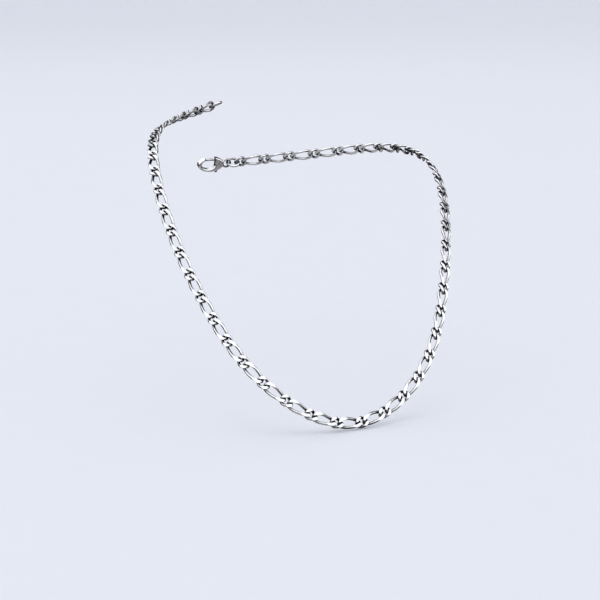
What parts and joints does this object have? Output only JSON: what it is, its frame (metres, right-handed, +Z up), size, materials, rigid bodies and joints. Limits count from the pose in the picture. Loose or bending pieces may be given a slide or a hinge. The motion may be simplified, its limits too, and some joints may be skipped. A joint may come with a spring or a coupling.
{
  "type": "chain necklace",
  "caption": "Flat-link metal necklace: long oval and short round links in turn, draped as worn, with a lobster clasp and an end ring at the nape.",
  "frame": {"origin": "centre of the long link lowest at the front, midway between its two ground faces", "axes": "+Z up as worn, +Y from the front of the neck towards the nape, +X to the right of someone facing the front"},
  "size_m": [0.1226, 0.1634, 0.1003],
  "materials": {
    "link_steel": "mirror-polished stainless steel with ground bright faces",
    "ring_steel": "polished stainless steel wire",
    "clasp_steel": "tumble-polished cast stainless steel",
    "lever_steel": "polished stainless steel",
    "pin_steel": "riveted stainless pin, heads turned bright",
    "spring_steel": "satin spring steel"
  },
  "bodies": {
    "links_01": {"links_01": "link_steel"},
    "links_02": {"links_02": "link_steel"},
    "links_03": {"links_03": "link_steel"},
    "links_04": {"links_04": "link_steel"},
    "links_05": {"links_05": "link_steel"},
    "links_06": {"links_06": "link_steel"},
    "links_07": {"links_07": "link_steel"},
    "links_08": {"links_08": "link_steel"},
    "links_09": {"links_09": "link_steel"},
    "links_10": {"links_10": "link_steel"},
    "links_11": {"links_11": "link_steel"},
    "links_12": {"links_12": "link_steel"},
    "links_13": {"links_13": "link_steel"},
    "links_14": {"links_14": "link_steel"},
    "links_15": {"links_15": "link_steel"},
    "links_16": {"links_16": "link_steel"},
    "links_17": {"links_17": "link_steel"},
    "links_18": {"links_18": "link_steel"},
    "links_19": {"links_19": "link_steel"},
    "links_20": {"links_20": "link_steel"},
    "links_21": {"links_21": "link_steel"},
    "links_22": {"links_22": "link_steel"},
    "links_23": {"links_23": "link_steel"},
    "links_24": {"links_24": "link_steel"},
    "links_25": {"links_25": "link_steel"},
    "links_26": {"links_26": "link_steel"},
    "links_27": {"links_27": "link_steel"},
    "links_28": {"links_28": "link_steel"},
    "links_29": {"links_29": "link_steel"},
    "links_30": {"links_30": "link_steel"},
    "links_31": {"links_31": "link_steel"},
    "links_32": {"links_32": "link_steel"},
    "links_33": {"links_33": "link_steel"},
    "links_34": {"links_34": "link_steel"},
    "links_35": {"links_35": "link_steel"},
    "links_36": {"links_36": "link_steel"},
    "links_37": {"links_37": "link_steel"},
    "links_38": {"links_38": "link_steel"},
    "links_39": {"links_39": "link_steel"},
    "links_40": {"links_40": "link_steel"},
    "links_41": {"links_41": "link_steel"},
    "links_42": {"links_42": "link_steel"},
    "links_43": {"links_43": "link_steel"},
    "links_44": {"links_44": "link_steel"},
    "links_45": {"links_45": "link_steel"},
    "links_46": {"links_46": "link_steel"},
    "links_47": {"links_47": "link_steel"},
    "end_ring": {"end_ring": "ring_steel"},
    "clasp_ring": {"clasp_ring": "ring_steel"},
    "clasp_body": {"clasp_body": "clasp_steel", "clasp_pin": "pin_steel", "clasp_spring": "spring_steel"},
    "clasp_lever": {"clasp_lever": "lever_steel"}
  },
  "joints": [
    {"name": "lever_open", "type": "hinge", "parent": "clasp_body", "child": "clasp_lever", "pos_m": [0.01042, 0.15861, 0.07191], "axis": [-0.0039, -0.9646, -0.2635], "range_deg": [0, 30]},
    {"name": "clasp_turn", "type": "hinge", "parent": "clasp_ring", "child": "clasp_body", "pos_m": [0.01472, 0.15866, 0.07168], "axis": [-0.0092, 0.8361, 0.5485], "range_deg": [-75, 75]},
    {"name": "clasp_ring_swing", "type": "hinge", "parent": "links_47", "child": "clasp_ring", "pos_m": [0.01822, 0.15863, 0.07181], "axis": [-0.0607, -0.8945, 0.443], "range_deg": [-29, 33]},
    {"name": "end_ring_swing", "type": "hinge", "parent": "links_01", "child": "end_ring", "pos_m": [0.00607, 0.15038, 0.09623], "axis": [-0.2677, 0.2133, 0.9396], "range_deg": [-90, 90]},
    {"name": "links_24_sway", "type": "hinge", "parent": "links_23", "child": "links_24", "pos_m": [0.0065, 0.00097, -0.00015], "axis": [0.119, -0.8884, 0.4434], "range_deg": [-34, 16]},
    {"name": "links_25_fold", "type": "hinge", "parent": "links_24", "child": "links_25", "pos_m": [0.01607, 0.00338, 0.00237], "axis": [-0.4645, 0.3669, 0.806], "range_deg": [-24, 29]},
    {"name": "links_22_sway", "type": "hinge", "parent": "links_23", "child": "links_22", "pos_m": [-0.00356, -0.00044, 0.00035], "axis": [0.1618, -0.8865, 0.4334], "range_deg": [-17, 36]},
    {"name": "links_21_fold", "type": "hinge", "parent": "links_22", "child": "links_21", "pos_m": [-0.01318, -0.00064, 0.00366], "axis": [0.3733, 0.4711, 0.7992], "range_deg": [-25, 24]},
    {"name": "links_01_fold", "type": "hinge", "parent": "links_02", "child": "links_01", "pos_m": [-0.00298, 0.1446, 0.09496], "axis": [0.2663, -0.4807, 0.8355], "range_deg": [-22, 25]},
    {"name": "links_02_sway", "type": "hinge", "parent": "links_03", "child": "links_02", "pos_m": [-0.01077, 0.13806, 0.09413], "axis": [-0.5496, 0.504, 0.6663], "range_deg": [-18, 23]},
    {"name": "links_03_fold", "type": "hinge", "parent": "links_04", "child": "links_03", "pos_m": [-0.01776, 0.13066, 0.09351], "axis": [-0.5723, 0.5245, -0.6304], "range_deg": [-25, 23]},
    {"name": "links_04_sway", "type": "hinge", "parent": "links_05", "child": "links_04", "pos_m": [-0.02397, 0.1226, 0.09291], "axis": [0.473, -0.2556, -0.8432], "range_deg": [-24, 21]},
    {"name": "links_05_fold", "type": "hinge", "parent": "links_06", "child": "links_05", "pos_m": [-0.02942, 0.11401, 0.09211], "axis": [0.749, -0.4802, 0.4565], "range_deg": [-25, 29]},
    {"name": "links_06_sway", "type": "hinge", "parent": "links_07", "child": "links_06", "pos_m": [-0.03411, 0.10506, 0.09076], "axis": [-0.415, 0.0086, 0.9098], "range_deg": [-21, 23]},
    {"name": "links_07_fold", "type": "hinge", "parent": "links_08", "child": "links_07", "pos_m": [-0.03801, 0.09592, 0.08852], "axis": [-0.8645, 0.4139, -0.2851], "range_deg": [-30, 23]},
    {"name": "links_08_sway", "type": "hinge", "parent": "links_09", "child": "links_08", "pos_m": [-0.04107, 0.08684, 0.08503], "axis": [0.3821, 0.3094, -0.8708], "range_deg": [-24, 24]},
    {"name": "links_09_fold", "type": "hinge", "parent": "links_10", "child": "links_09", "pos_m": [-0.04326, 0.07807, 0.08031], "axis": [0.8923, -0.3525, 0.282], "range_deg": [-28, 33]},
    {"name": "links_10_sway", "type": "hinge", "parent": "links_11", "child": "links_10", "pos_m": [-0.04465, 0.06968, 0.07469], "axis": [-0.4375, -0.4982, 0.7486], "range_deg": [-24, 25]},
    {"name": "links_11_fold", "type": "hinge", "parent": "links_12", "child": "links_11", "pos_m": [-0.04535, 0.06162, 0.06847], "axis": [-0.8955, 0.3023, -0.3267], "range_deg": [-31, 29]},
    {"name": "links_12_sway", "type": "hinge", "parent": "links_13", "child": "links_12", "pos_m": [-0.0454, 0.05384, 0.06188], "axis": [0.4503, 0.6003, -0.661], "range_deg": [-26, 25]},
    {"name": "links_13_fold", "type": "hinge", "parent": "links_14", "child": "links_13", "pos_m": [-0.04486, 0.04626, 0.05508], "axis": [0.8854, -0.2549, 0.3887], "range_deg": [-30, 30]},
    {"name": "links_14_sway", "type": "hinge", "parent": "links_15", "child": "links_14", "pos_m": [-0.04382, 0.0388, 0.0482], "axis": [-0.4707, -0.6407, 0.6066], "range_deg": [-26, 27]},
    {"name": "links_15_fold", "type": "hinge", "parent": "links_16", "child": "links_15", "pos_m": [-0.04235, 0.03134, 0.0414], "axis": [-0.8533, 0.2288, -0.4686], "range_deg": [-30, 32]},
    {"name": "links_16_sway", "type": "hinge", "parent": "links_17", "child": "links_16", "pos_m": [-0.04055, 0.0238, 0.03477], "axis": [0.5243, 0.6347, -0.5676], "range_deg": [-27, 25]},
    {"name": "links_17_fold", "type": "hinge", "parent": "links_18", "child": "links_17", "pos_m": [-0.03819, 0.01632, 0.02826], "axis": [0.8132, -0.1677, 0.5573], "range_deg": [-27, 30]},
    {"name": "links_18_sway", "type": "hinge", "parent": "links_19", "child": "links_18", "pos_m": [-0.03465, 0.00939, 0.02168], "axis": [-0.3775, -0.7923, 0.4793], "range_deg": [-15, 24]},
    {"name": "links_19_fold", "type": "hinge", "parent": "links_20", "child": "links_19", "pos_m": [-0.02925, 0.00389, 0.01504], "axis": [-0.7471, -0.2085, -0.6312], "range_deg": [-25, 10]},
    {"name": "links_20_sway", "type": "hinge", "parent": "links_21", "child": "links_20", "pos_m": [-0.02188, 0.00065, 0.0088], "axis": [-0.0843, 0.8938, -0.4406], "range_deg": [-29, 16]},
    {"name": "links_26_sway", "type": "hinge", "parent": "links_25", "child": "links_26", "pos_m": [0.02461, 0.0066, 0.00689], "axis": [-0.105, 0.8834, -0.4568], "range_deg": [-22, 31]},
    {"name": "links_27_fold", "type": "hinge", "parent": "links_26", "child": "links_27", "pos_m": [0.03204, 0.0106, 0.01261], "axis": [0.731, -0.2028, -0.6515], "range_deg": [-29, 30]},
    {"name": "links_28_sway", "type": "hinge", "parent": "links_27", "child": "links_28", "pos_m": [0.03834, 0.01545, 0.019], "axis": [0.2585, -0.8502, 0.4587], "range_deg": [-29, 24]},
    {"name": "links_29_fold", "type": "hinge", "parent": "links_28", "child": "links_29", "pos_m": [0.04358, 0.02099, 0.02576], "axis": [-0.8202, -0.0086, 0.5721], "range_deg": [-31, 30]},
    {"name": "links_30_sway", "type": "hinge", "parent": "links_29", "child": "links_30", "pos_m": [0.04805, 0.027, 0.03268], "axis": [-0.3748, 0.7914, -0.4829], "range_deg": [-25, 26]},
    {"name": "links_31_fold", "type": "hinge", "parent": "links_30", "child": "links_31", "pos_m": [0.05209, 0.03331, 0.03961], "axis": [0.8343, 0.0771, -0.5459], "range_deg": [-30, 31]},
    {"name": "links_32_sway", "type": "hinge", "parent": "links_31", "child": "links_32", "pos_m": [0.05589, 0.0399, 0.0464], "axis": [0.4296, -0.7391, 0.5188], "range_deg": [-25, 26]},
    {"name": "links_33_fold", "type": "hinge", "parent": "links_32", "child": "links_33", "pos_m": [0.05948, 0.04686, 0.05293], "axis": [-0.8176, -0.1024, 0.5667], "range_deg": [-33, 28]},
    {"name": "links_34_sway", "type": "hinge", "parent": "links_33", "child": "links_34", "pos_m": [0.06285, 0.0543, 0.05904], "axis": [-0.5031, 0.6411, -0.5795], "range_deg": [-26, 24]},
    {"name": "links_35_fold", "type": "hinge", "parent": "links_34", "child": "links_35", "pos_m": [0.06599, 0.06228, 0.06456], "axis": [0.7777, 0.1031, -0.6201], "range_deg": [-28, 34]},
    {"name": "links_36_sway", "type": "hinge", "parent": "links_35", "child": "links_36", "pos_m": [0.06881, 0.07081, 0.06938], "axis": [0.6252, -0.4811, 0.6146], "range_deg": [-24, 27]},
    {"name": "links_37_fold", "type": "hinge", "parent": "links_36", "child": "links_37", "pos_m": [0.07112, 0.07989, 0.07341], "axis": [-0.6992, -0.1217, 0.7045], "range_deg": [-35, 27]},
    {"name": "links_38_sway", "type": "hinge", "parent": "links_37", "child": "links_38", "pos_m": [0.07268, 0.08947, 0.07652], "axis": [-0.7461, 0.2337, -0.6234], "range_deg": [-26, 23]},
    {"name": "links_39_fold", "type": "hinge", "parent": "links_38", "child": "links_39", "pos_m": [0.07326, 0.09944, 0.07858], "axis": [0.6227, 0.1101, -0.7746], "range_deg": [-26, 36]},
    {"name": "links_40_sway", "type": "hinge", "parent": "links_39", "child": "links_40", "pos_m": [0.07267, 0.10958, 0.07945], "axis": [0.8057, 0.0952, 0.5846], "range_deg": [-23, 26]},
    {"name": "links_41_fold", "type": "hinge", "parent": "links_40", "child": "links_41", "pos_m": [0.07082, 0.1196, 0.07929], "axis": [-0.5252, -0.0868, 0.8465], "range_deg": [-35, 27]},
    {"name": "links_42_sway", "type": "hinge", "parent": "links_41", "child": "links_42", "pos_m": [0.06764, 0.12924, 0.07841], "axis": [-0.7851, -0.4044, -0.4692], "range_deg": [-24, 24]},
    {"name": "links_43_fold", "type": "hinge", "parent": "links_42", "child": "links_43", "pos_m": [0.06295, 0.13819, 0.07706], "axis": [0.4158, 0.1243, -0.9009], "range_deg": [-26, 35]},
    {"name": "links_44_sway", "type": "hinge", "parent": "links_43", "child": "links_44", "pos_m": [0.05654, 0.14596, 0.07555], "axis": [0.5836, 0.7325, 0.3505], "range_deg": [-24, 20]},
    {"name": "links_45_fold", "type": "hinge", "parent": "links_44", "child": "links_45", "pos_m": [0.04833, 0.15182, 0.07419], "axis": [-0.2444, -0.241, 0.9393], "range_deg": [-33, 26]},
    {"name": "links_46_sway", "type": "hinge", "parent": "links_45", "child": "links_46", "pos_m": [0.03893, 0.15563, 0.07315], "axis": [-0.2316, -0.924, -0.3044], "range_deg": [-22, 25]},
    {"name": "links_47_fold", "type": "hinge", "parent": "links_46", "child": "links_47", "pos_m": [0.02899, 0.15775, 0.07238], "axis": [0.095, 0.2754, -0.9566], "range_deg": [-28, 32]}
  ]
}
